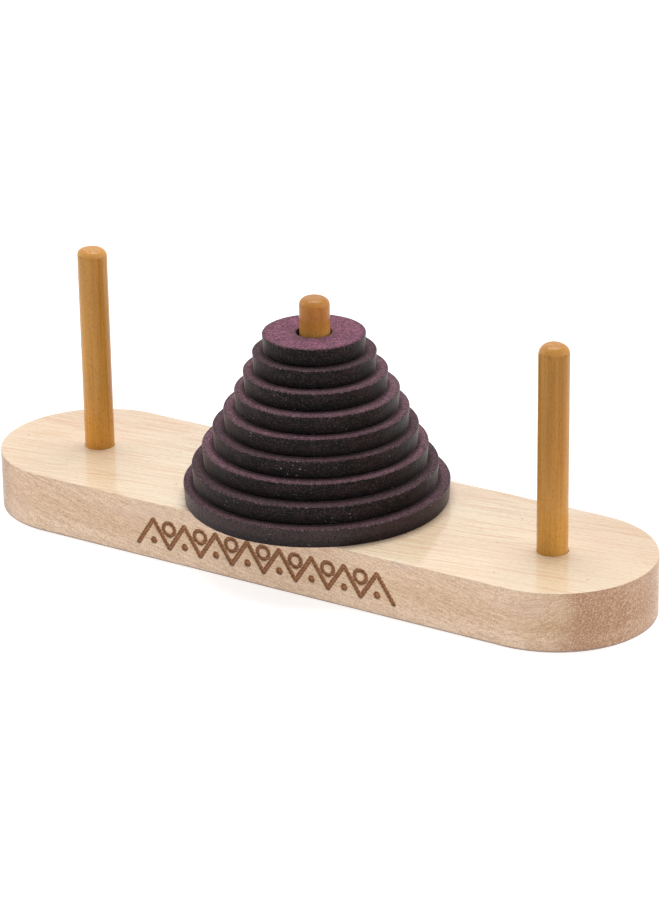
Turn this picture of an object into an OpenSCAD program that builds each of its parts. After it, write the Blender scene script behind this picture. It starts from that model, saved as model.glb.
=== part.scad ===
// Tower of Hanoi puzzle: a board with round ends, three pegs standing in blind sockets,
// and a stack of nine loose discs on the centre peg, the largest at the bottom.
// Millimetres, +Z up. The origin is the centre of the board's underside, +X runs along
// the row of pegs, and -Y is the front, where the board's edge carries an engraved band.

/* [Board] */
// Length of the board over its two round ends
board_l = 230; // [220:1:260]
// Width of the board, and so the diameter of its ends
board_w = 62; // [50:1:80]
// Thickness of the board
board_t = 19; // [18:0.5:25]
// Radius that eases the board's long edges
board_ease = 0.6; // [0.2:0.1:1.5]

/* [Pegs] */
// Distance from one peg to the next
peg_pitch = 83; // [80:0.5:90]
// Diameter of the dowel that the pegs are cut from
peg_d = 9.5; // [8:0.1:10]
// Height of the left peg above the board
left_peg_h = 66.2; // [64:0.1:75]
// Height of the centre peg above the board
centre_peg_h = 64.9; // [64:0.1:75]
// Height of the right peg above the board
right_peg_h = 65.4; // [64:0.1:75]
// Radius of the sanded edge at the top of each peg
peg_round = 2.2; // [0.5:0.1:3.5]
// Depth of the blind socket under each peg
socket_depth = 12.7; // [8:0.1:15]
// Room for glue all round a peg's tenon in its socket
glue_gap = 0.05; // [0.02:0.01:0.15]

/* [Discs] */
// Number of discs in the stack
disc_count = 9; // [3:1:9]
// Thickness of every disc
disc_t = 6; // [4:0.1:6.2]
// Diameter of the smallest disc
disc_d_min = 31.75; // [26:0.25:32]
// How much each disc is wider than the one above it
disc_d_step = 6.35; // [4:0.05:6.4]
// Diameter of the hole through every disc
disc_hole_d = 11.1; // [11.1:0.1:14]
// Radius that eases the outer edges of a disc
disc_ease = 0.4; // [0.1:0.1:1]
// Radius that eases the edges of a disc's hole
hole_ease = 0.25; // [0.1:0.05:0.5]

/* [Engraved band] */
// Number of peaks in the zigzag
band_peaks = 8; // [4:1:12]
// Distance from one peak to the next
band_pitch = 11.6; // [10:0.1:13]
// Height of the zigzag's valleys above the underside
band_low = 4.7; // [3:0.1:6]
// Height of the zigzag's peaks above the underside
band_high = 13.4; // [12:0.1:15]
// Width of the engraved lines
band_stroke = 1.3; // [0.8:0.1:1.6]
// Depth of the engraving
band_depth = 0.4; // [0.1:0.05:1]
// Outer diameter of the ring over each valley
ring_d = 5.2; // [4:0.1:5.6]
// Width of the ring's line
ring_stroke = 1.1; // [0.6:0.1:1.4]
// Diameter of the dot under each peak
dot_d = 2.2; // [1:0.1:3]

/* [Hidden] */
PEG_NODES = ["peg_left", "peg_centre", "peg_right"];

$fn = 96;
// Straight steps that stand for one eased or rounded quarter turn
ease_steps = 4;
round_steps = 10;
// How far a cutting solid runs past the face it cuts
cut_over = 1;

peg_heights = [left_peg_h, centre_peg_h, right_peg_h];
socket_r = peg_d / 2;
tenon_r = socket_r - glue_gap;
// The tenon tapers to a tip that is thinner all round by this much, then is chamfered
tenon_taper = 0.3;
tenon_ease = 0.8;
board_end_x = (board_l - board_w) / 2;

// Where the rings and the dots stand, as shares of the way from valley to peak
ring_level = 0.75;
dot_level = 0.2;

// A loose disc rests wherever it was dropped, within the play of its hole on the peg.
// These are its centre's distances from the peg's axis in X and Y, as shares of that
// play, smallest disc first.
play = (disc_hole_d - peg_d) / 2;
disc_rest = [
    [-0.1, -0.5], [-0.4, 0.1], [-0.1, 0.1],
    [0.6, -0.1], [0.2, -0.1], [-0.5, 0.2],
    [-0.8, 0.2], [-0.5, -0.5], [-0.1, -0.1]
];

maple = [0.90, 0.78, 0.60];
amber = [0.66, 0.40, 0.16];
plum = [0.38, 0.25, 0.32];

// Points of a quarter circle of radius r about c, turning anticlockwise from angle a
function quarter(c, r, a, steps) =
    [for (i = [0 : steps]) c + r * [cos(a + 90 * i / steps), sin(a + 90 * i / steps)]];

// ---- Board ----

// One side of the board's cross-section, from its middle out to the eased edges
function board_side() = concat(
    quarter([board_w / 2 - board_ease, board_ease], board_ease, -90, ease_steps),
    quarter([board_w / 2 - board_ease, board_t - board_ease], board_ease, 0, ease_steps)
);

function mirrored(points) =
    [for (i = [len(points) - 1 : -1 : 0]) [-points[i].x, points[i].y]];

module board_blank() {
    translate([-board_end_x, 0, 0])
        rotate([90, 0, 90])
            linear_extrude(2 * board_end_x)
                polygon(concat(board_side(), mirrored(board_side())));
    for (side = [-1, 1])
        translate([side * board_end_x, 0, 0])
            rotate([0, 0, -90 * side])
                rotate_extrude(angle = 180)
                    polygon(concat([[0, 0]], board_side(), [[0, board_t]]));
}

module ring() {
    difference() {
        circle(d = ring_d);
        circle(d = ring_d - 2 * ring_stroke);
    }
}

// The zigzag is its centre line moved up and down by half of its width, measured upright
module zigzag() {
    half_pitch = band_pitch / 2;
    rise = band_high - band_low;
    half_line = band_stroke / 2 * norm([half_pitch, rise]) / half_pitch;
    line = [
        for (i = [-band_peaks : band_peaks])
            [i * half_pitch, (i + band_peaks) % 2 == 1 ? band_high : band_low]
    ];
    last = len(line) - 1;
    polygon(concat(
        [for (i = [0 : last]) line[i] - [0, half_line]],
        [for (i = [last : -1 : 0]) line[i] + [0, half_line]]
    ));
}

module band() {
    rise = band_high - band_low;
    zigzag();
    for (i = [1 : band_peaks - 1])
        translate([(i - band_peaks / 2) * band_pitch, band_low + ring_level * rise])
            ring();
    for (i = [0 : band_peaks - 1])
        translate([(i + 0.5 - band_peaks / 2) * band_pitch, band_low + dot_level * rise])
            circle(d = dot_d);
}

module base_board() {
    color(maple)
        difference() {
            board_blank();
            for (i = [-1 : 1])
                translate([i * peg_pitch, 0, board_t - socket_depth])
                    cylinder(r = socket_r, h = socket_depth + cut_over);
            translate([0, band_depth - board_w / 2, 0])
                rotate([90, 0, 0])
                    linear_extrude(band_depth + cut_over)
                        band();
        }
}

// ---- Pegs ----

// Peg i of the row, -1 left, 0 centre and 1 right: a dowel with a rounded top, and a
// tenon sanded to a slight taper that stands on the floor of the socket
module peg(i) {
    h = peg_heights[i + 1];
    tip_r = tenon_r - tenon_taper;
    color(amber)
        translate([i * peg_pitch, 0, board_t])
            rotate_extrude()
                polygon(concat(
                    [[0, -socket_depth], [tip_r - tenon_ease, -socket_depth]],
                    [[tip_r, tenon_ease - socket_depth], [tenon_r, 0], [peg_d / 2, 0]],
                    quarter([peg_d / 2 - peg_round, h - peg_round], peg_round, 0, round_steps),
                    [[0, h]]
                ));
}

// ---- Discs ----

// Disc k of the stack, 1 at the top and disc_count on the board
module disc(k) {
    r = (disc_d_min + (k - 1) * disc_d_step) / 2;
    hole_r = disc_hole_d / 2;
    rest = play * disc_rest[k - 1];
    color(plum)
        translate([rest.x, rest.y, board_t + (disc_count - k) * disc_t])
            rotate_extrude()
                polygon(concat(
                    quarter([hole_r + hole_ease, hole_ease], hole_ease, 180, ease_steps),
                    quarter([r - disc_ease, disc_ease], disc_ease, -90, ease_steps),
                    quarter([r - disc_ease, disc_t - disc_ease], disc_ease, 0, ease_steps),
                    quarter([hole_r + hole_ease, disc_t - hole_ease], hole_ease, 90, ease_steps)
                ));
}

base_board();
for (i = [-1 : 1]) {
    peg(i);
}
for (k = [1 : disc_count]) {
    disc(k);
}
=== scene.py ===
"""Tower of Hanoi puzzle: the looks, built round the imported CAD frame.

Metres, +Z up. The pegs stand in a row along X, and -Y is the front, whose edge carries the
engraved band. Lengths are written in millimetres and turned into metres where a mesh is made.
"""

import math

import bpy
import numpy as np
from mathutils import Matrix, Vector
from mathutils import noise as perlin
from mathutils.geometry import tessellate_polygon


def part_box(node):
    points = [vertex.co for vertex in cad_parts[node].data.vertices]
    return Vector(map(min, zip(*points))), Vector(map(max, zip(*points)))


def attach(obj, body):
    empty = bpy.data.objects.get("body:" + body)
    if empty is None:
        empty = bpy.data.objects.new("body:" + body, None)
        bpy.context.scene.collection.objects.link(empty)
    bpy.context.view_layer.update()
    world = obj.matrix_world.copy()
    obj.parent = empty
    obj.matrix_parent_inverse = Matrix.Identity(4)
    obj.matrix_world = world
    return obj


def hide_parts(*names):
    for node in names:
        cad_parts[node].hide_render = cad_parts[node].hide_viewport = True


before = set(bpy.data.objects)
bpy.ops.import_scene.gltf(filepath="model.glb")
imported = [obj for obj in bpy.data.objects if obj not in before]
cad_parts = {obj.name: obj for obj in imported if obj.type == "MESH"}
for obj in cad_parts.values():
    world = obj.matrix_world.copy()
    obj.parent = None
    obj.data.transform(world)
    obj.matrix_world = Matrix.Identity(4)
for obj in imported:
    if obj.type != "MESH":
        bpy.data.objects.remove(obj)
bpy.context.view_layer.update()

MM = 0.001
SIDES = "left", "centre", "right"
DISC_COUNT = sum(name.startswith("disc_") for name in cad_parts)


# ---- The camera ----

CAMERA_AZIMUTH = 32.85    # degrees, 0 looks along +Y
CAMERA_ELEVATION = 22.11  # degrees above the horizon
CAMERA_ROLL = 0.92        # degrees that the picture is turned anticlockwise
CAMERA_AIM = Vector((4.8, 0.0, 35.0)) * MM
CAMERA_DISTANCE = 1100 * MM
LENS = 143.35             # mm, for a 36 mm sensor along the picture's long side


def make_camera():
    data = bpy.data.cameras.new("camera")
    data.sensor_width = 36.0
    data.lens = LENS
    data.clip_start = 0.05
    data.clip_end = 50.0
    camera = bpy.data.objects.new("camera", data)
    azimuth = math.radians(CAMERA_AZIMUTH)
    elevation = math.radians(CAMERA_ELEVATION)
    back = Vector((
        math.sin(azimuth) * math.cos(elevation),
        -math.cos(azimuth) * math.cos(elevation),
        math.sin(elevation),
    ))
    right = Vector((math.cos(azimuth), math.sin(azimuth), 0.0))
    axes = Matrix((right, back.cross(right), back)).transposed().to_4x4()
    turn = Matrix.Rotation(-math.radians(CAMERA_ROLL), 4, "Z")
    place = Matrix.Translation(CAMERA_AIM + back * CAMERA_DISTANCE)
    camera.matrix_world = place @ axes @ turn
    bpy.context.scene.collection.objects.link(camera)
    bpy.context.scene.camera = camera


# ---- Meshes ----

SHARP_ANGLE = 50          # degrees between two faces, from where their edge is drawn sharp


def bumps(x, y, z, seed, octaves=2):
    """Smooth noise from about -1 to 1 at each point of three equal arrays."""
    shape = np.shape(x)
    flat = zip(np.ravel(x), np.ravel(y), np.ravel(z))
    values = [
        perlin.fractal(Vector((a + 17.3 * seed, b - 9.1 * seed, c)), 1.0, 2.0, octaves)
        for a, b, c in flat
    ]
    return np.array(values).reshape(shape)


def ring_bumps(angles, waves, seed, octaves=2):
    """Smooth noise round a circle, with about that many waves in a turn."""
    reach = waves / (2 * math.pi)
    return bumps(np.cos(angles) * reach, np.sin(angles) * reach, 0 * angles, seed, octaves)


def smoothstep(low, high, value):
    t = np.clip((value - low) / (high - low), 0, 1)
    return t * t * (3 - 2 * t)


class Shell:
    """Collects points in millimetres, faces and point attributes, and makes a piece of them."""

    def __init__(self):
        self.points = []
        self.faces = []
        self.marks = {}

    def add_points(self, points):
        first = len(self.points)
        self.points.extend(map(tuple, np.reshape(points, (-1, 3))))
        return first

    def add_grid(self, grid, wrap_rows=False):
        """A grid of points, rows by columns, whose columns close into a ring."""
        rows, columns = grid.shape[:2]
        first = self.add_points(grid)
        index = first + np.arange(rows * columns).reshape(rows, columns)
        for i in range(rows if wrap_rows else rows - 1):
            low, high = index[i], index[(i + 1) % rows]
            nexts = zip(low, np.roll(low, -1), np.roll(high, -1), high)
            self.faces.extend(tuple(int(v) for v in face) for face in nexts)
        return index

    def add_fan(self, ring, centre, up):
        """Closes a ring of points with triangles to a centre point."""
        tip = self.add_points([centre])
        for a, b in zip(ring, np.roll(ring, -1)):
            self.faces.append((int(a), int(b), tip) if up else (int(b), int(a), tip))

    def add_cap(self, rings, up):
        """Fills a flat region inside the first ring and outside the others."""
        loops = [[Vector(self.points[i]) for i in ring] for ring in rings]
        order = [int(i) for ring in rings for i in ring]
        for corners in tessellate_polygon(loops):
            a, b, c = (order[i] for i in corners)
            p, q, r = (Vector(self.points[i]) for i in (a, b, c))
            faces_up = (q - p).cross(r - p).z > 0
            self.faces.append((a, b, c) if faces_up == up else (a, c, b))

    def make(self, name, body, material, replaced):
        mesh = bpy.data.meshes.new(name)
        mesh.from_pydata([tuple(c * MM for c in p) for p in self.points], [], self.faces)
        for mark, values in self.marks.items():
            attribute = mesh.attributes.new(mark, "FLOAT", "POINT")
            attribute.data.foreach_set("value", np.asarray(values, np.float32))
        mesh.validate()
        mesh.shade_smooth()
        mesh.set_sharp_from_angle(angle=math.radians(SHARP_ANGLE))
        mesh.materials.append(material)
        piece = bpy.data.objects.new(name, mesh)
        bpy.context.scene.collection.objects.link(piece)
        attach(piece, body)
        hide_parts(replaced)
        return piece


def box_mm(node):
    """A CAD node's lowest and highest corners, as arrays in millimetres."""
    low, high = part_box(node)
    return np.array(low) / MM, np.array(high) / MM


# ---- Material nodes ----

class Graph:
    """A material's node tree, with one call for each node. Inputs are numbers or sockets."""

    def __init__(self, name):
        self.material = bpy.data.materials.new(name)
        self.material.use_nodes = True
        self.tree = self.material.node_tree
        self.tree.nodes.clear()

    def node(self, kind, inputs, **settings):
        made = self.tree.nodes.new(kind)
        for key, value in settings.items():
            setattr(made, key, value)
        for key, value in inputs.items():
            if isinstance(value, bpy.types.NodeSocket):
                self.tree.links.new(value, made.inputs[key])
            else:
                made.inputs[key].default_value = value
        return made

    def place(self):
        """Object coordinates in millimetres."""
        where = self.node("ShaderNodeTexCoord", {}).outputs["Object"]
        scaled = self.node("ShaderNodeVectorMath", {0: where, "Scale": 1 / MM}, operation="SCALE")
        return scaled.outputs["Vector"]

    def split(self, vector):
        return self.node("ShaderNodeSeparateXYZ", {0: vector}).outputs

    def join(self, x, y, z):
        return self.node("ShaderNodeCombineXYZ", {0: x, 1: y, 2: z}).outputs["Vector"]

    def distance(self, vector, point):
        made = self.node("ShaderNodeVectorMath", {0: vector, 1: point}, operation="DISTANCE")
        return made.outputs["Value"]

    def math(self, operation, *values):
        inputs = dict(enumerate(values))
        return self.node("ShaderNodeMath", inputs, operation=operation).outputs[0]

    def noise(self, vector, scale, detail, roughness=0.5, distortion=0.0, offset=(0, 0, 0)):
        """Noise from 0 to 1. Its scale is for each axis, in waves per millimetre."""
        mapping = {"Vector": vector, "Scale": scale, "Location": offset}
        inputs = {
            "Vector": self.node("ShaderNodeMapping", mapping).outputs["Vector"],
            "Scale": 1.0, "Detail": detail, "Roughness": roughness, "Distortion": distortion,
        }
        return self.node("ShaderNodeTexNoise", inputs).outputs["Fac"]

    def remap(self, value, low, high, to_low=0.0, to_high=1.0, smooth=True):
        inputs = {
            "Value": value, "From Min": low, "From Max": high,
            "To Min": to_low, "To Max": to_high,
        }
        kind = "SMOOTHSTEP" if smooth else "LINEAR"
        return self.node("ShaderNodeMapRange", inputs, interpolation_type=kind).outputs[0]

    def mix(self, factor, a, b, blend="MIX"):
        inputs = {0: factor, 6: a, 7: b}
        made = self.node("ShaderNodeMix", inputs, data_type="RGBA", blend_type=blend)
        return made.outputs[2]

    def shade(self, factor, colour, gains):
        """Multiplies a colour's red, green and blue, so that its grain keeps its contrast."""
        return self.mix(factor, colour, (*gains, 1.0), "MULTIPLY")

    def normal(self):
        """The true surface direction in object space, without any bump."""
        return self.node("ShaderNodeTexCoord", {}).outputs["Normal"]

    def mark(self, name):
        made = self.node("ShaderNodeAttribute", {}, attribute_name=name)
        return made.outputs["Fac"]

    def bump(self, height, distance_mm, strength):
        inputs = {"Height": height, "Distance": distance_mm * MM, "Strength": strength}
        return self.node("ShaderNodeBump", inputs).outputs["Normal"]

    def finish(self, **inputs):
        named = {key.replace("_", " "): value for key, value in inputs.items()}
        shader = self.node("ShaderNodeBsdfPrincipled", named)
        self.node("ShaderNodeOutputMaterial", {"Surface": shader.outputs[0]})
        return self.material


def tint(red, green, blue):
    """A colour given as it shows on a screen, 0 to 255, in the linear form that nodes take."""
    def linear(value):
        share = value / 255
        return share / 12.92 if share <= 0.04045 else ((share + 0.055) / 1.055) ** 2.4
    return (linear(red), linear(green), linear(blue), 1.0)


# ---- The board ----

BOARD_EASE = 0.38         # mm, radius of the sanded edges
BAND_PEAKS = 8            # peaks in the zigzag
BAND_PITCH = 11.6         # mm from one peak to the next
BAND_LOW, BAND_HIGH = 4.7, 13.4   # mm up from the underside, its valleys and its peaks
BAND_STROKE = 1.3         # mm, width of its line
BAND_DEPTH = 0.4          # mm, how deep it is cut
RING_MID_R, RING_STROKE = 2.05, 1.1   # mm, the rings' middle radius and line width
DOT_R = 1.1               # mm, the dots' radius
RING_LEVEL, DOT_LEVEL = 0.75, 0.2     # the height of rings and dots from valley to peak
BAND_CELL = 0.25          # mm between the board's columns and rows where the band is cut
BAND_MARGIN = 2.5         # mm of fine columns past each end of the band
BAND_ROWS = 3.0, 15.6     # mm up from the underside, where the fine rows start and stop
END_COLUMNS = 150         # columns round each half-round end
BACK_COLUMNS = 60         # columns along the plain back
PLAIN_COLUMNS = 14        # columns along the front on each side of the band
CAP_INSET = 1.6           # mm from the rim to where the flat faces' large triangles begin
SOCKET_GAP = 0.02         # mm all round a peg
SOCKET_COLUMNS = 120      # columns round each socket
BURR_HEIGHT = 0.12        # mm that torn fibres stand up round a socket
RASTER_PITCH = 1.0        # mm between the laser's passes, which scallop the lines' edges
RASTER_BITE = 0.09        # mm, how deep the scallops are


def band_distance(x, z):
    """Distance in mm from points of the front edge to the engraved lines, negative inside."""
    half = BAND_PITCH / 2
    rise = BAND_HIGH - BAND_LOW
    best = np.full(np.shape(x), 99.0)
    for i in range(-BAND_PEAKS, BAND_PEAKS):
        falling = (i + BAND_PEAKS) % 2 == 1
        x0, z0 = i * half, BAND_HIGH if falling else BAND_LOW
        dx, dz = half, -rise if falling else rise
        along = np.clip(((x - x0) * dx + (z - z0) * dz) / (dx * dx + dz * dz), 0, 1)
        line = np.hypot(x - x0 - along * dx, z - z0 - along * dz) - BAND_STROKE / 2
        best = np.minimum(best, line)
    for i in range(1, BAND_PEAKS):
        away = np.hypot(x - (i - BAND_PEAKS / 2) * BAND_PITCH, z - BAND_LOW - RING_LEVEL * rise)
        best = np.minimum(best, np.abs(away - RING_MID_R) - RING_STROKE / 2)
    for i in range(BAND_PEAKS):
        centre = (i + 0.5 - BAND_PEAKS / 2) * BAND_PITCH
        best = np.minimum(best, np.hypot(x - centre, z - BAND_LOW - DOT_LEVEL * rise) - DOT_R)
    return best


def board_columns(end_x):
    """Each upright column of the rim, anticlockwise seen from above: its anchor on the pegs'
    line and its outward direction."""
    band_x = BAND_PEAKS * BAND_PITCH / 2 + BAND_MARGIN
    front = np.concatenate([
        np.linspace(-end_x, -band_x, PLAIN_COLUMNS, endpoint=False),
        np.linspace(-band_x, band_x, round(2 * band_x / BAND_CELL), endpoint=False),
        np.linspace(band_x, end_x, PLAIN_COLUMNS, endpoint=False),
    ])
    back = np.linspace(end_x, -end_x, BACK_COLUMNS, endpoint=False)
    right = np.linspace(-math.pi / 2, math.pi / 2, END_COLUMNS, endpoint=False)
    left = right + math.pi
    anchor = np.concatenate([
        front, np.full(END_COLUMNS, end_x), back, np.full(END_COLUMNS, -end_x),
    ])
    angle = np.concatenate([
        np.full(len(front), -math.pi / 2), right, np.full(len(back), math.pi / 2), left,
    ])
    return anchor, angle


def board_rows(ease, thick):
    """Inset and height of every row of the rim, from the underside up, for each column."""
    turn = np.linspace(0, math.pi / 2, 6)[:, None]
    side = np.concatenate([
        [1.2, 1.8, 2.4],
        np.arange(*BAND_ROWS, BAND_CELL),
        [16.2, 17.0, thick - 1.2],
    ])[:, None] + 0 * ease
    flat = 0 * ease[None]
    inset = np.concatenate([
        flat + CAP_INSET, ease * (1 - np.sin(turn)), 0 * side,
        ease * (1 - np.cos(turn)), flat + CAP_INSET,
    ])
    height = np.concatenate([
        flat, ease * (1 - np.cos(turn)), side,
        thick - ease * (1 - np.sin(turn)), flat + thick,
    ])
    return inset, height


def make_board(material):
    high = box_mm("base_board")[1]
    thick = high[2]
    half_width = high[1]
    end_x = high[0] - half_width
    anchor, angle = board_columns(end_x)
    nx, ny = np.cos(angle), np.sin(angle)
    rim_x, rim_y = anchor + nx * half_width, ny * half_width
    ease = BOARD_EASE * (1 + 0.35 * bumps(rim_x / 14, rim_y / 14, 0 * rim_x, 3))
    inset, height = board_rows(ease, thick)

    across = np.broadcast_to(anchor, height.shape)
    scallop = RASTER_BITE * np.cos(height * 2 * math.pi / RASTER_PITCH)
    wobble = 0.1 * bumps(across * 1.3, height * 1.3, 0 * height, 5)
    gap = band_distance(across, height) + scallop + wobble
    on_front = ny < -0.999
    cut = smoothstep(0.12, -0.16, gap) * on_front
    floor = 1 + 0.25 * bumps(across * 2.2, height * 2.2, 0 * height, 6)
    reach = half_width - inset - BAND_DEPTH * cut * floor

    # How scorched each point is, and how near to the dark outline of a line
    burn = smoothstep(0.28, -0.08, gap) * on_front
    outline = smoothstep(0.34, 0.04, np.abs(gap + 0.08)) * burn

    shell = Shell()
    grid = np.stack([anchor + nx * reach, ny * reach, height], axis=-1)
    index = shell.add_grid(grid)
    shell.add_cap([index[0]], up=False)
    sockets = [add_socket(shell, "peg_" + side, thick) for side in SIDES]
    shell.add_cap([index[-1], *sockets], up=True)
    spare = np.zeros(len(shell.points) - burn.size)
    shell.marks["burn"] = np.concatenate([burn.ravel(), spare])
    shell.marks["outline"] = np.concatenate([outline.ravel(), spare])
    return shell.make("board", "base", material, "base_board")


def add_socket(shell, peg, top):
    """A blind socket whose rim has torn fibres; returns its outermost ring of points."""
    low, high = box_mm(peg)
    centre = (low + high) / 2
    radius = (high[0] - low[0]) / 2
    angle = np.linspace(0, 2 * math.pi, SOCKET_COLUMNS, endpoint=False)
    torn = smoothstep(0.15, 0.6, ring_bumps(angle, 13, centre[0], 3))
    split = 0.08 * smoothstep(0.0, 0.6, ring_bumps(angle, 7, centre[0] + 9, 3))
    wall = radius + SOCKET_GAP + 0 * angle
    rings = [
        (wall + 1.4, top),
        (wall + 0.5, top),
        (wall + 0.2 + split, top + BURR_HEIGHT * torn),
        (wall + split, top - 0.1 + 0.5 * BURR_HEIGHT * torn),
        (wall, top - 0.35),
        (wall, low[2] - 0.05),
    ]
    grid = np.stack([
        np.stack([
            centre[0] + r * np.cos(angle), centre[1] + r * np.sin(angle), z + 0 * angle,
        ], axis=-1)
        for r, z in rings
    ])
    index = shell.add_grid(grid[::-1])[::-1]
    shell.add_fan(index[-1], (centre[0], centre[1], rings[-1][1]), up=True)
    return index[0]


PITH_Y, PITH_Z = 36.0, -52.0      # mm, the heart of the tree that the board was sawn from
RING_GAP = 1.3                    # mm between one growth ring and the next
RING_LEAN = 0.15                  # how far the rings drift back for each mm along the board
SIDE_DROP = 0.22                  # how far the grain drops for each mm along the side
BEND_FROM, BEND_TO = 74.0, 108.0  # mm along the side, where the grain turns to rise
BEND = 0.0115                     # half of what each mm of that bend adds to the slope
BROWN_TURN = -38.0                # degrees round the right end to its brown patch
BROWN_HEIGHT = 10.0               # mm from the underside up to the middle of that patch
BROWN_FULL, BROWN_END = 13.0, 28.0   # mm from that middle, where the brown starts to fade and ends
WARM_BROWN = (172, 132, 92)
EDGE_LINE = (176, 134, 98)


def growth_rings(g, place, leaning, z):
    """How much each point is dark late wood. The rings are cylinders round a pith that lies
    behind and below the board."""
    drift = g.noise(place, (0.006, 0.012, 0.012), 2.0)
    ripple = g.noise(place, (0.028, 0.06, 0.06), 3.0)
    from_y = g.math("SUBTRACT", leaning, PITH_Y)
    from_z = g.math("SUBTRACT", z, PITH_Z)
    squares = g.math("ADD", g.math("POWER", from_y, 2.0), g.math("POWER", from_z, 2.0))
    bent = g.math("ADD", g.math("SQRT", squares), g.math("MULTIPLY", drift, 16.0))
    bent = g.math("ADD", bent, g.math("MULTIPLY", ripple, 2.6))
    years = g.noise(place, (0.004, 0.22, 0.22), 1.0, offset=(4, 2, 6))
    bent = g.math("ADD", bent, g.math("MULTIPLY", years, 3.0))
    season = g.math("FRACT", g.math("DIVIDE", bent, RING_GAP))
    late = g.math("MULTIPLY", g.remap(season, 0.4, 0.88), g.remap(season, 0.88, 1.0, 1.0, 0.0))
    strength = g.noise(place, (0.02, 0.14, 0.14), 3.0, offset=(7, 3, 1))
    return g.math("MULTIPLY", late, g.remap(strength, 0.35, 0.68, 0.15, 1.0))


def side_grain(g, x, y, z, end_x, end_r):
    """The place along the side's grain, as a vector, and the turn round an end in radians.

    The grain follows the side round both ends. It drops towards the right, and near the
    right end it bends up and rises."""
    reach = g.math("ABSOLUTE", x)
    past = g.math("MAXIMUM", g.math("SUBTRACT", reach, end_x), 0.0)
    turn = g.math("ARCTAN2", past, g.math("ABSOLUTE", y))
    along = g.math("ADD", g.math("MINIMUM", reach, end_x), g.math("MULTIPLY", turn, end_r))
    along = g.math("MULTIPLY", along, g.math("SIGN", x))
    bending = g.math("MAXIMUM", g.math("SUBTRACT", along, BEND_FROM), 0.0)
    bending = g.math("MINIMUM", bending, BEND_TO - BEND_FROM)
    rising = g.math("MAXIMUM", g.math("SUBTRACT", along, BEND_TO), 0.0)
    level = g.math("ADD", z, g.math("MULTIPLY", along, SIDE_DROP))
    level = g.math("SUBTRACT", level, g.math("MULTIPLY", g.math("POWER", bending, 2.0), BEND))
    end_slope = 2 * BEND * (BEND_TO - BEND_FROM)
    level = g.math("SUBTRACT", level, g.math("MULTIPLY", rising, end_slope))
    return g.join(along, y, level), turn


def maple_top(g, place, x, y, late, clouds, fibres):
    """The colour of the top, with pin knots."""
    face = g.mix(g.remap(clouds, 0.35, 0.7), tint(246, 228, 200), tint(242, 219, 189))
    # The top is painted darker towards its ends, a painted shade that evens out how the light falls
    # along it
    painted_end_shade = g.remap(g.math("ABSOLUTE", x), 40.0, 105.0, 0.0, 0.62)
    face = g.mix(painted_end_shade, face, tint(228, 203, 170))
    face = g.mix(g.math("MULTIPLY", late, 0.5), face, tint(222, 174, 130))
    face = g.mix(g.remap(fibres, 0.46, 0.66, 0.0, 0.6), face, tint(220, 176, 134))
    pores = g.noise(place, (0.5, 3.0, 3.0), 1.0, offset=(6, 2, 1))
    face = g.mix(g.remap(pores, 0.52, 0.7, 0.0, 0.4), face, tint(206, 160, 122))

    cells = {"Vector": place, "Scale": 0.075}
    pins = g.node("ShaderNodeTexVoronoi", cells, voronoi_dimensions="2D").outputs
    few = g.remap(g.split(pins["Color"])[0], 0.66, 0.68)
    pin = g.math("MULTIPLY", g.remap(pins["Distance"], 0.018, 0.034, 1.0, 0.0), few)
    face = g.mix(g.math("MULTIPLY", pin, 0.6), face, tint(158, 100, 56))

    # The back is a little darker than the front
    face = g.shade(g.remap(y, -4.0, 24.0), face, (0.9, 0.87, 0.87))
    return g.shade(g.remap(y, -4.0, -24.0), face, (1.03, 1.05, 1.06))


def maple_side(g, place, flow, turn, x, late, clouds, grains):
    """The colour of the side, with short dashes along its grain."""
    edge_line, rim_pale = tint(*EDGE_LINE), tint(246, 222, 198)
    lines = g.noise(flow, (0.12, 0.05, 2.5), 2.0)
    dashes = g.noise(flow, (0.6, 0.05, 3.0), 1.0, offset=(6, 2, 1))
    blush = g.noise(place, (0.05, 0.1, 0.1), 2.0, offset=(8, 4, 6))
    warmth = g.math("MULTIPLY", g.remap(turn, 0.0, 0.6), g.remap(x, -1.0, 1.0, 0.4, 0.52))
    rim = g.mix(g.remap(clouds, 0.35, 0.7), tint(230, 201, 171), tint(225, 194, 163))
    rim = g.mix(warmth, rim, tint(*WARM_BROWN))
    rim = g.mix(g.math("MULTIPLY", late, 0.14), rim, edge_line)
    rim = g.mix(g.remap(lines, 0.44, 0.62, 0.0, 0.33), rim, edge_line)
    rim = g.mix(g.remap(dashes, 0.5, 0.64, 0.0, 0.32), rim, edge_line)
    rim = g.mix(g.remap(dashes, 0.48, 0.36, 0.0, 0.24), rim, rim_pale)
    rim = g.mix(g.remap(grains, 0.5, 0.66, 0.0, 0.36), rim, edge_line)
    rim = g.mix(g.remap(grains, 0.48, 0.32, 0.0, 0.36), rim, rim_pale)
    return g.mix(g.remap(blush, 0.5, 0.7, 0.0, 0.22), rim, tint(216, 188, 178))


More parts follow.
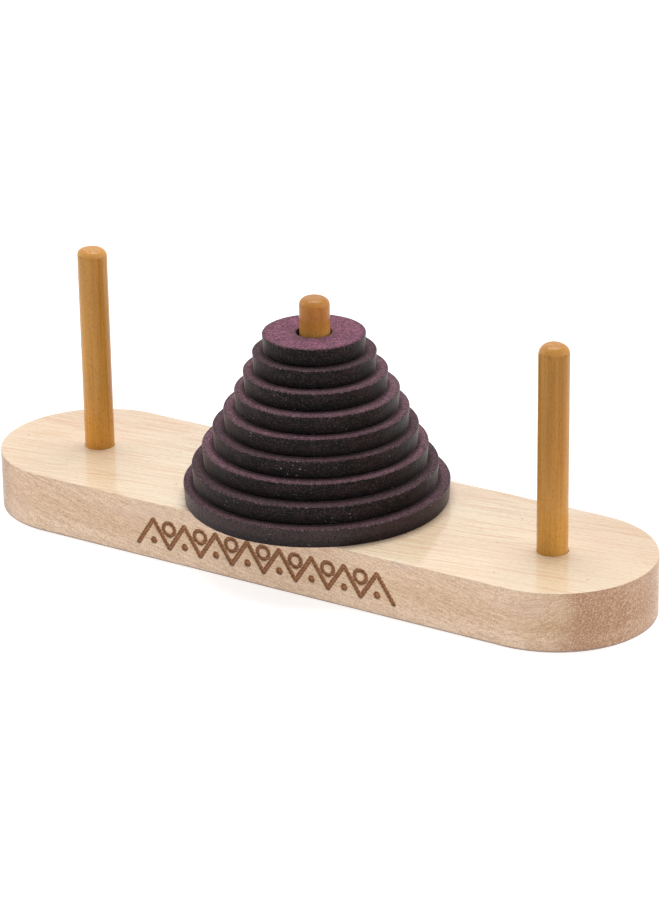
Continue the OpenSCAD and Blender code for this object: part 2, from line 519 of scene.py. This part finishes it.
def maple_end(g, place, end_x, end_r, strokes, grains):
    """The colour of the end grain: short strokes, and a brown patch on the right end's front."""
    end_dark, end_pale = tint(142, 98, 70), tint(220, 192, 168)
    blotch = g.noise(place, (0.1, 0.1, 0.12), 3.0, offset=(2, 1, 8))
    angle = math.radians(BROWN_TURN)
    brown = (end_x + end_r * math.cos(angle), end_r * math.sin(angle), BROWN_HEIGHT)
    from_brown = g.math("ADD", g.distance(place, brown), g.math("MULTIPLY", blotch, 14.0))
    patch = g.remap(from_brown, BROWN_FULL, BROWN_END, 1.0, 0.0)
    grain = g.mix(g.remap(blotch, 0.35, 0.65), tint(183, 150, 125), tint(168, 129, 101))
    grain = g.mix(0.34, grain, tint(*WARM_BROWN))
    grain = g.mix(g.math("MULTIPLY", patch, 0.8), grain, tint(166, 119, 82))
    grain = g.mix(g.remap(strokes, 0.5, 0.62, 0.0, 0.66), grain, end_dark)
    grain = g.mix(g.remap(strokes, 0.48, 0.36, 0.0, 0.62), grain, end_pale)
    grain = g.mix(g.remap(grains, 0.5, 0.66, 0.0, 0.4), grain, end_dark)
    return g.mix(g.remap(grains, 0.48, 0.32, 0.0, 0.3), grain, end_pale)


def maple_material():
    g = Graph("maple")
    place = g.place()
    x, y, z = g.split(place)
    direction = g.split(g.normal())
    low, high = box_mm("base_board")
    end_r = (high[1] - low[1]) / 2
    end_x = high[0] - end_r

    leaning = g.math("SUBTRACT", y, g.math("MULTIPLY", x, RING_LEAN))
    late = growth_rings(g, place, leaning, z)
    fibres = g.noise(g.join(x, leaning, z), (0.045, 1.3, 1.3), 4.0, 0.65)
    clouds = g.noise(place, (0.018, 0.04, 0.04), 3.0, offset=(1, 5, 2))
    flow, turn = side_grain(g, x, y, z, end_x, end_r)
    grains = g.noise(flow, (2.4, 0.3, 2.8), 1.0, offset=(9, 4, 2))
    strokes = g.noise(flow, (1.3, 0.05, 2.7), 2.0, 0.6, offset=(5, 1, 8))

    side = g.remap(g.math("ABSOLUTE", direction[2]), 0.3, 0.8, 1.0, 0.0)
    face = maple_top(g, place, x, y, late, clouds, fibres)
    rim = maple_side(g, place, flow, turn, x, late, clouds, grains)
    colour = g.mix(side, face, rim)

    # The end grain shows where the side faces left or right
    end = g.math("ADD", g.math("ABSOLUTE", direction[0]), g.remap(clouds, 0.3, 0.7, -0.12, 0.12))
    end = g.math("MULTIPLY", g.remap(end, 0.4, 0.64), side)
    grain = maple_end(g, place, end_x, end_r, strokes, grains)
    colour = g.mix(g.math("MULTIPLY", end, 0.9), colour, grain)

    # The side is warmest along its middle, and is painted palest low down, a painted light against the
    # shade near the floor
    from_middle = g.math("ABSOLUTE", g.math("SUBTRACT", z, high[2] / 2))
    middle = g.math("MULTIPLY", g.remap(from_middle, 1.0, 6.0, 1.0, 0.0), side)
    colour = g.shade(middle, colour, (0.95, 0.92, 0.88))
    foot = g.math("MULTIPLY", g.remap(z, 3.0, 8.0, 1.0, 0.0), side)
    colour = g.shade(foot, colour, (1.07, 1.1, 1.14))

    # The lower edge is painted grey, a painted contact shadow where it stands on the table
    colour = g.mix(g.remap(z, 0.35, 0.8, 0.75, 0.0), colour, tint(140, 122, 118))

    # The laser's scorch: brown lines with a darker outline
    raster = g.noise(place, (0.5, 1.0, 3.6), 2.0, 0.7)
    scorched = g.mix(g.remap(raster, 0.35, 0.65), tint(172, 116, 70), tint(132, 84, 47))
    scorched = g.mix(g.math("MULTIPLY", g.mark("outline"), 0.9), scorched, tint(96, 54, 27))
    burn = g.mark("burn")
    colour = g.mix(burn, colour, scorched)

    height = g.math("ADD", g.math("MULTIPLY", fibres, 0.6), g.math("MULTIPLY", late, 0.3))
    height = g.math("ADD", height, g.math("MULTIPLY", g.math("MULTIPLY", strokes, end), 1.2))
    roughness = g.math("ADD", g.remap(fibres, 0.3, 0.7, 0.42, 0.54), g.math("MULTIPLY", side, 0.12))
    gloss = g.math("MULTIPLY", g.remap(side, 0.0, 1.0, 1.0, 0.3), g.remap(burn, 0.0, 1.0, 1.0, 0.1))
    return g.finish(
        Base_Color=colour,
        Roughness=roughness,
        Normal=g.bump(height, 0.05, 0.5),
        Coat_Weight=gloss,
        Coat_Roughness=0.1,
        Coat_IOR=1.5,
        Specular_IOR_Level=0.3,
    )


# ---- The pegs ----

PEG_ROUND = {"left": 2.2, "centre": 2.2, "right": 3.0}   # mm, radius of each rounded top
PEG_COLUMNS = 112         # columns round each peg
GLUE_GAP = 0.05           # mm that the tenon is thinner than the shaft, all round
TENON_TAPER = 0.3         # mm more at the tenon's tip
TENON_EASE = 0.8          # mm, the chamfer of that tip
TOP_TILT = 0.06           # mm that one side of the top is lower


def make_peg(side, seed, material):
    """A dowel with a hand-sanded top: its rounding is uneven and its flat is a little tilted."""
    node = "peg_" + side
    low, high = box_mm(node)
    centre = (low + high) / 2
    radius = (high[0] - low[0]) / 2
    top = high[2]
    board_top = box_mm("base_board")[1][2]
    angle = np.linspace(0, 2 * math.pi, PEG_COLUMNS, endpoint=False)
    rounding = PEG_ROUND[side] * (1 + 0.2 * ring_bumps(angle, 3, seed))
    tenon = radius - GLUE_GAP
    tip = tenon - TENON_TAPER
    rows = [
        (tip - TENON_EASE, low[2]),
        (tip, low[2] + TENON_EASE),
        (tenon, board_top - 0.6),
        (radius, board_top - 0.3),
    ]
    shaft_top = top - PEG_ROUND[side] * 1.3
    for z in np.arange(board_top, shaft_top, 2.0):
        rows.append((radius, z))
    profile = [(r + 0 * angle, z + 0 * angle) for r, z in rows]
    for turn in np.linspace(0, math.pi / 2, 12):
        r = radius - rounding * (1 - math.cos(turn))
        z = top - rounding * (1 - math.sin(turn))
        profile.append((r, z))
    flat = radius - rounding
    profile += [(flat * share, top + 0 * angle) for share in (0.66, 0.33)]

    grid = []
    for r, z in profile:
        swell = bumps(np.cos(angle) * 0.8, np.sin(angle) * 0.8, z * 0.06, seed + 4)
        worn = r - 0.05 * np.abs(swell) * (r > radius - 0.2)
        lean = TOP_TILT * (np.cos(angle + seed) + 1) * r / radius
        sunk = z - np.where(z > shaft_top, lean, 0)
        grid.append(np.stack([
            centre[0] + worn * np.cos(angle), centre[1] + worn * np.sin(angle), sunk,
        ], axis=-1))
    shell = Shell()
    index = shell.add_grid(np.stack(grid))
    shell.add_fan(index[0], (centre[0], centre[1], low[2]), up=False)
    shell.add_fan(index[-1], (centre[0], centre[1], top - TOP_TILT), up=True)
    return shell.make("dowel_" + side, "base", material, node)


# Light and deep tones of each peg's lacquered wood, then of the end grain on its top
DOWEL_TONES = {
    "left": ((203, 147, 69), (191, 132, 55), (212, 156, 84), (184, 124, 58)),
    "centre": ((186, 119, 47), (172, 104, 35), (188, 132, 70), (162, 108, 52)),
    "right": ((186, 133, 60), (173, 118, 47), (203, 147, 78), (175, 118, 54)),
}
# The node that each peg rises out of, how strongly its foot is painted paler as a painted bounce of
# light off that node, and how many mm up that reaches
DOWEL_PAINTED_BOUNCE = {
    "left": ("base_board", 0.5, 20.0),
    "centre": ("disc_1", 0.75, 6.0),
    "right": ("base_board", 0.85, 34.0),
}
# What each peg's red, green and blue are multiplied by, at its foot and near its top
DOWEL_TONE_GAINS = {
    "left": ((1.22, 1.14, 1.0), (0.88, 0.88, 0.95)),
    "centre": ((1.0, 1.0, 1.0), (1.0, 1.0, 1.0)),
    "right": ((0.98, 0.96, 0.92), (0.87, 0.87, 0.84)),
}


def dowel_material(name, seed):
    g = Graph("lacquered_dowel_" + name)
    place = g.place()
    shift = (13.0 * seed, 7.0 * seed, 5.0 * seed)
    direction = g.split(g.normal())

    streaks = g.noise(place, (1.5, 1.5, 0.03), 4.0, 0.6, offset=shift)
    bands = g.noise(place, (0.36, 0.36, 0.01), 2.0, offset=shift)
    pores = g.noise(place, (2.8, 2.8, 1.1), 2.0, 0.6, offset=shift)
    mottle = g.noise(place, (0.5, 0.5, 0.07), 3.0, 0.6, offset=shift)

    light, deep, pale_end, dark_end = DOWEL_TONES[name]
    colour = g.mix(g.remap(bands, 0.35, 0.65), tint(*light), tint(*deep))

    # Each peg is painted paler towards its foot, a painted bounce of light off what it stands in
    base, share, reach = DOWEL_PAINTED_BOUNCE[name]
    foot = box_mm(base)[1][2]
    z = g.split(place)[2]
    painted_bounce = g.math("POWER", g.remap(z, foot, foot + reach, 1.0, 0.0, smooth=False), 1.6)
    colour = g.mix(g.math("MULTIPLY", painted_bounce, share), colour, tint(238, 180, 92))

    dark_grain = tint(134, 76, 8)
    colour = g.mix(g.remap(streaks, 0.42, 0.72, 0.0, 0.26), colour, dark_grain)
    colour = g.mix(g.remap(pores, 0.52, 0.68, 0.0, 0.36), colour, dark_grain)
    colour = g.mix(g.remap(mottle, 0.46, 0.72, 0.0, 0.3), colour, tint(206, 144, 56))

    # The tone changes slowly from the foot to the top
    foot_gains, top_gains = DOWEL_TONE_GAINS[name]
    length = box_mm("peg_" + name)[1][2] - foot
    lower = foot + 0.4 * length
    upper = foot + 0.9 * length
    colour = g.shade(g.remap(z, foot, lower, 1.0, 0.0), colour, foot_gains)
    colour = g.shade(g.remap(z, lower, upper), colour, top_gains)

    # The top's rounding is a clearer gold, with dark nicks where it starts, and the flat
    # of the top shows paler end grain
    specks = g.noise(place, (1.5, 3.4, 1.5), 3.0, 0.65, offset=shift)
    up = direction[2]
    start = g.math("MULTIPLY", g.remap(up, 0.02, 0.1), g.remap(up, 0.1, 0.3, 1.0, 0.0))
    nick = g.math("MULTIPLY", start, g.remap(streaks, 0.56, 0.64))
    colour = g.mix(g.remap(up, 0.06, 0.4, 0.0, 0.6), colour, tint(*pale_end))
    colour = g.mix(g.math("MULTIPLY", nick, 0.7), colour, tint(92, 52, 16))
    cut = g.mix(g.remap(specks, 0.4, 0.64), tint(*pale_end), tint(*dark_end))
    colour = g.mix(g.remap(up, 0.5, 0.95, 0.0, 0.9), colour, cut)

    height = g.math("ADD", streaks, g.math("MULTIPLY", pores, 0.5))
    return g.finish(
        Base_Color=colour,
        Roughness=g.remap(streaks, 0.3, 0.7, 0.36, 0.5),
        Normal=g.bump(height, 0.04, 0.4),
        Coat_Weight=g.remap(pores, 0.3, 0.8, 0.7, 0.5),
        Coat_Roughness=0.14,
        Coat_IOR=1.36,
        Specular_IOR_Level=0.05,
    )


# ---- The discs ----

DISC_EASE = 0.38          # mm, radius of the rim's edges
HOLE_EASE = 0.25          # mm, radius of the hole's edges
RIM_BAND = 1.3            # mm from the rim to the last row of the flat faces
DISC_TAPER = 0.4          # mm that a wall leans in from top to bottom, as the laser's beam does
DISC_COLUMN = 0.4         # mm between a disc's columns at its rim
FEWEST_COLUMNS = 160      # columns on even the smallest disc
RAGGEDNESS = 2.2          # waves of unevenness round the rim for each mm of radius
WALL_ROWS = 0.12, 0.2, 0.28, 0.38, 0.48, 0.58, 0.68, 0.78, 0.87   # shares of the way down


def hole_radius(node, centre):
    """The radius of a disc's hole, from the CAD node's own points, in millimetres."""
    points = np.array([v.co[:2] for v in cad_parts[node].data.vertices]) / MM
    return float(np.hypot(*(points - centre[:2]).T).min())


def make_disc(number, material):
    """A laser-cut disc: flat faces, a slightly ragged rim, and a wall with cutting ripples."""
    node = f"disc_{number}"
    low, high = box_mm(node)
    centre = (low + high) / 2
    radius = (high[0] - low[0]) / 2
    hole = hole_radius(node, centre)
    bottom, top = low[2], high[2]
    columns = max(FEWEST_COLUMNS, round(2 * math.pi * radius / DISC_COLUMN))
    angle = np.linspace(0, 2 * math.pi, columns, endpoint=False)
    waves = radius * RAGGEDNESS
    ease = DISC_EASE * (1 + 0.1 * ring_bumps(angle, waves, number, 3))
    nicks = smoothstep(0.4, 0.8, ring_bumps(angle, waves * 0.8, number + 20)) * 0.14
    ease = ease + nicks
    low_ease = DISC_EASE * (1 + 0.3 * ring_bumps(angle, waves, number + 40))

    rows = []
    wear_and_glint = []
    depth = []

    def row(r, z, worn=0.0, deep=0.0):
        """One ring of the disc's profile: how worn it is, which also sets the rim's painted highlight,
        and how far down the wall, 0 to 1.
        """
        rows.append((r + 0 * angle, z + 0 * angle))
        wear_and_glint.append(worn)
        depth.append(deep)

    turns = np.linspace(0, math.pi / 2, 5)
    for turn in turns:
        row(hole + HOLE_EASE * (1 - math.sin(turn)), bottom + HOLE_EASE * (1 - math.cos(turn)))
    for turn in turns:
        row(hole + HOLE_EASE * (1 - math.cos(turn)), top - HOLE_EASE * (1 - math.sin(turn)), 0.4)
    for share in (0.06, 0.3, 0.6, 0.85):
        row(hole + (radius - hole) * share, top)
    row(radius - RIM_BAND, top)
    for turn in turns[::-1]:
        inset = ease * (1 - math.cos(turn))
        drop = ease * (1 - math.sin(turn))
        row(radius - inset, top - drop, 0.4 + 0.6 * math.sin(turn))
    for deep in WALL_ROWS:
        worn = max(0.08, 0.4 - 3 * deep)
        row(radius - DISC_TAPER * deep, top - deep * (top - bottom), worn, deep)
    foot = radius - DISC_TAPER
    for turn in turns[::-1]:
        row(foot - low_ease * (1 - math.sin(turn)), bottom + low_ease * (1 - math.cos(turn)), 0.1, 1.0)
    row(foot - RIM_BAND, bottom)
    for share in (0.6, 0.06):
        row(hole + (radius - hole) * share, bottom)

    grid = []
    for r, z in rows:
        ripple = bumps(
            np.cos(angle) * radius * 1.1, np.sin(angle) * radius * 1.1, z * 0.3, number)
        cut = np.where(r > foot - 0.2, 0.06 * np.abs(ripple), 0)
        grid.append(np.stack([
            centre[0] + (r - cut) * np.cos(angle), centre[1] + (r - cut) * np.sin(angle), z,
        ], axis=-1))
    shell = Shell()
    shell.add_grid(np.stack(grid), wrap_rows=True)
    # The profile runs the other way round than the board's, so the faces are turned over
    shell.faces = [face[::-1] for face in shell.faces]
    shell.marks["wear_and_glint"] = np.repeat(wear_and_glint, columns)
    shell.marks["depth"] = np.repeat(depth, columns)
    return shell.make(f"ring_{number}", node, material, node)


# Dark fibres, light fibres and clouds: the top disc has kept its colour, and the others
# have been browned by the laser's smoke
CLEAN_DYE = (68, 39, 52), (155, 101, 123), (98, 68, 81)
SOOTY_DYE = (68, 45, 53), (157, 115, 129), (87, 64, 70)
# How much soot lies all over each disc's face, by the disc's number
FACE_SOOT = {2: 0.6, 3: 0.16, 4: 0.06, 5: 0.12, 6: 0.55, 7: 0.04, 8: 0.68, 9: 0.46}


def disc_material(number):
    """Purple-dyed fibreboard, with a charred wall where the laser cut it."""
    g = Graph(f"dyed_disc_{number}")
    place = g.place()
    shift = (31.0 * number, 17.0 * number, 0.0)
    direction = g.split(g.normal())
    wall = g.remap(g.math("ABSOLUTE", direction[2]), 0.35, 0.8, 1.0, 0.0)
    wear_and_glint = g.mark("wear_and_glint")

    weave_a = g.noise(place, (1.3, 3.6, 1.5), 3.0, 0.7, 0.5, offset=shift)
    weave_b = g.noise(place, (3.6, 1.3, 1.5), 3.0, 0.7, 0.5, offset=shift)
    fibre = g.math("MAXIMUM", weave_a, weave_b)
    clouds = g.noise(place, (0.09, 0.09, 0.09), 3.0, offset=shift)
    dark, light, cloud = CLEAN_DYE if number == 1 else SOOTY_DYE
    dye = g.mix(g.remap(fibre, 0.48, 0.62), tint(*dark), tint(*light))
    dye = g.mix(g.remap(clouds, 0.4, 0.7, 0.0, 0.4), dye, tint(*cloud))
    dye = g.mix(FACE_SOOT.get(number, 0.0), dye, tint(48, 39, 40))

    layers = g.noise(place, (0.3, 0.3, 2.6), 3.0, 0.6, offset=shift)
    smoke = g.noise(place, (0.16, 0.16, 0.4), 3.0, offset=shift)
    grit = g.noise(place, (1.8, 1.8, 2.0), 3.0, 0.7, offset=shift)
    char = g.mix(g.remap(smoke, 0.38, 0.66), tint(9, 7, 8), tint(34, 22, 23))
    char = g.mix(g.remap(layers, 0.5, 0.68, 0.0, 0.7), char, tint(48, 38, 36))
    # The bottom disc's wall is painted lighter, a painted bounce of light from the board beneath it
    if number == DISC_COUNT:
        char = g.mix(0.42, char, tint(84, 69, 69))
    char = g.mix(g.remap(grit, 0.5, 0.64, 0.0, 0.4), char, tint(70, 58, 57))
    char = g.mix(g.remap(grit, 0.49, 0.36, 0.0, 0.6), char, tint(6, 5, 5))
    # The wall is painted darker towards its foot, a painted shade where it meets the face below
    char = g.mix(g.remap(g.mark("depth"), 0.3, 1.0, 0.0, 0.75), char, tint(7, 5, 6))

    # A painted contact shadow: the face is painted dark in a ring just outside the disc above, and
    # pale and dark specks are scattered over the face
    if number > 1:
        low, high = box_mm(f"disc_{number - 1}")
        centre = (low + high) / 2
        middle = (centre[0], centre[1], box_mm(f"disc_{number}")[1][2])
        beyond = g.math("SUBTRACT", g.distance(place, middle), (high[0] - low[0]) / 2)
        painted_contact_shade = g.math("MULTIPLY", g.remap(beyond, 0.0, 1.2, 0.62, 0.0), g.remap(beyond, -4.0, -1.0))
        dye = g.mix(painted_contact_shade, dye, tint(20, 15, 17))
        dye = g.mix(g.remap(grit, 0.54, 0.66, 0.0, 0.3), dye, tint(168, 138, 146))
        dye = g.mix(g.remap(grit, 0.46, 0.36, 0.0, 0.34), dye, tint(40, 29, 34))
    dye = g.mix(g.math("MULTIPLY", wear_and_glint, 0.45), dye, tint(26, 19, 22))
    colour = g.mix(wall, dye, char)

    # Torn pale fibres along the rim, which also stand in as a painted highlight where the rim's edge
    # catches the light, and specks of dust in patches
    torn = g.math("MULTIPLY", wear_and_glint, g.remap(grit, 0.42, 0.58))
    colour = g.mix(g.math("MULTIPLY", torn, 0.1), colour, tint(146, 122, 130))
    torn = g.math("MULTIPLY", wear_and_glint, g.remap(grit, 0.56, 0.64))
    colour = g.mix(g.math("MULTIPLY", torn, 0.3), colour, tint(190, 168, 174))
    dust = g.noise(place, (1.3, 1.3, 2.0), 2.0, 0.7, offset=shift[::-1])
    patches = g.noise(place, (0.08, 0.08, 0.14), 2.0, offset=shift)
    speck = g.math("MULTIPLY", g.remap(dust, 0.66, 0.72), g.remap(patches, 0.52, 0.64))
    colour = g.mix(g.math("MULTIPLY", speck, 0.8), colour, tint(178, 164, 162))

    height = g.math("ADD", g.math("MULTIPLY", fibre, 0.7), g.math("MULTIPLY", grit, 0.7))
    return g.finish(
        Base_Color=colour,
        Roughness=g.remap(wall, 0.0, 1.0, 0.8, 0.5),
        Normal=g.bump(height, 0.12, 0.42),
        Sheen_Weight=0.3,
        Sheen_Tint=(1.0, 0.84, 0.78, 1.0),
        Sheen_Roughness=0.3,
        Specular_IOR_Level=0.1,
    )


# ---- The studio ----

def area_light(name, place_mm, aim_mm, size_mm, watts):
    data = bpy.data.lights.new(name, "AREA")
    data.shape = "RECTANGLE"
    data.size, data.size_y = (s * MM for s in size_mm)
    data.energy = watts
    light = bpy.data.objects.new(name, data)
    place, aim = Vector(place_mm) * MM, Vector(aim_mm) * MM
    light.location = place
    light.rotation_euler = (aim - place).to_track_quat("-Z", "Y").to_euler()
    bpy.context.scene.collection.objects.link(light)


BACK_WALL = (-0.54, 0.84, 0.0)     # the direction of the brightest wall
FRONT_GLOW, BACK_GLOW = 0.45, 0.82   # how brightly the walls glow in front and behind
FLOOR_HALF = 8.0                   # metres from the object to the floor's edges
# Name, place and aim in mm, size in mm, and watts of each light
LIGHTS = [
    ("overhead", (-150, 300, 1250), (0, 0, 0), (900, 700), 10.5),
    ("left_window", (-1200, -300, 500), (0, 0, 40), (700, 700), 2.0),
    ("right_fill", (1200, 200, 450), (0, 0, 40), (700, 700), 3.7),
]


def make_studio():
    mesh = bpy.data.meshes.new("floor")
    corners = [(-1, -1), (1, -1), (1, 1), (-1, 1)]
    mesh.from_pydata([(x * FLOOR_HALF, y * FLOOR_HALF, 0) for x, y in corners], [], [(0, 1, 2, 3)])
    g = Graph("floor_paper")
    mesh.materials.append(g.finish(
        Base_Color=(0.65, 0.65, 0.65, 1.0), Roughness=0.9, Specular_IOR_Level=0.1,
        Emission_Color=(1.0, 1.0, 1.0, 1.0), Emission_Strength=0.65,
    ))
    floor = bpy.data.objects.new("floor", mesh)
    bpy.context.scene.collection.objects.link(floor)

    # White walls all round, the brightest behind the object
    world = bpy.data.worlds.new("studio")
    world.use_nodes = True
    nodes, links = world.node_tree.nodes, world.node_tree.links
    where = nodes.new("ShaderNodeTexCoord").outputs["Generated"]
    facing = nodes.new("ShaderNodeVectorMath")
    facing.operation = "DOT_PRODUCT"
    facing.inputs[1].default_value = BACK_WALL
    fade = nodes.new("ShaderNodeMapRange")
    fade.interpolation_type = "SMOOTHSTEP"
    fade.inputs["From Min"].default_value = -0.5
    fade.inputs["From Max"].default_value = 0.8
    fade.inputs["To Min"].default_value = FRONT_GLOW
    fade.inputs["To Max"].default_value = BACK_GLOW
    links.new(where, facing.inputs[0])
    links.new(facing.outputs["Value"], fade.inputs["Value"])
    nodes["Background"].inputs["Color"].default_value = (1.0, 1.0, 1.0, 1.0)
    links.new(fade.outputs[0], nodes["Background"].inputs["Strength"])
    bpy.context.scene.world = world

    for light in LIGHTS:
        area_light(*light)
    bpy.context.scene.view_settings.view_transform = "Standard"


make_camera()
make_board(maple_material())
for seed, side in enumerate(SIDES):
    make_peg(side, seed, dowel_material(side, seed))
for number in range(1, DISC_COUNT + 1):
    make_disc(number, disc_material(number))
make_studio()
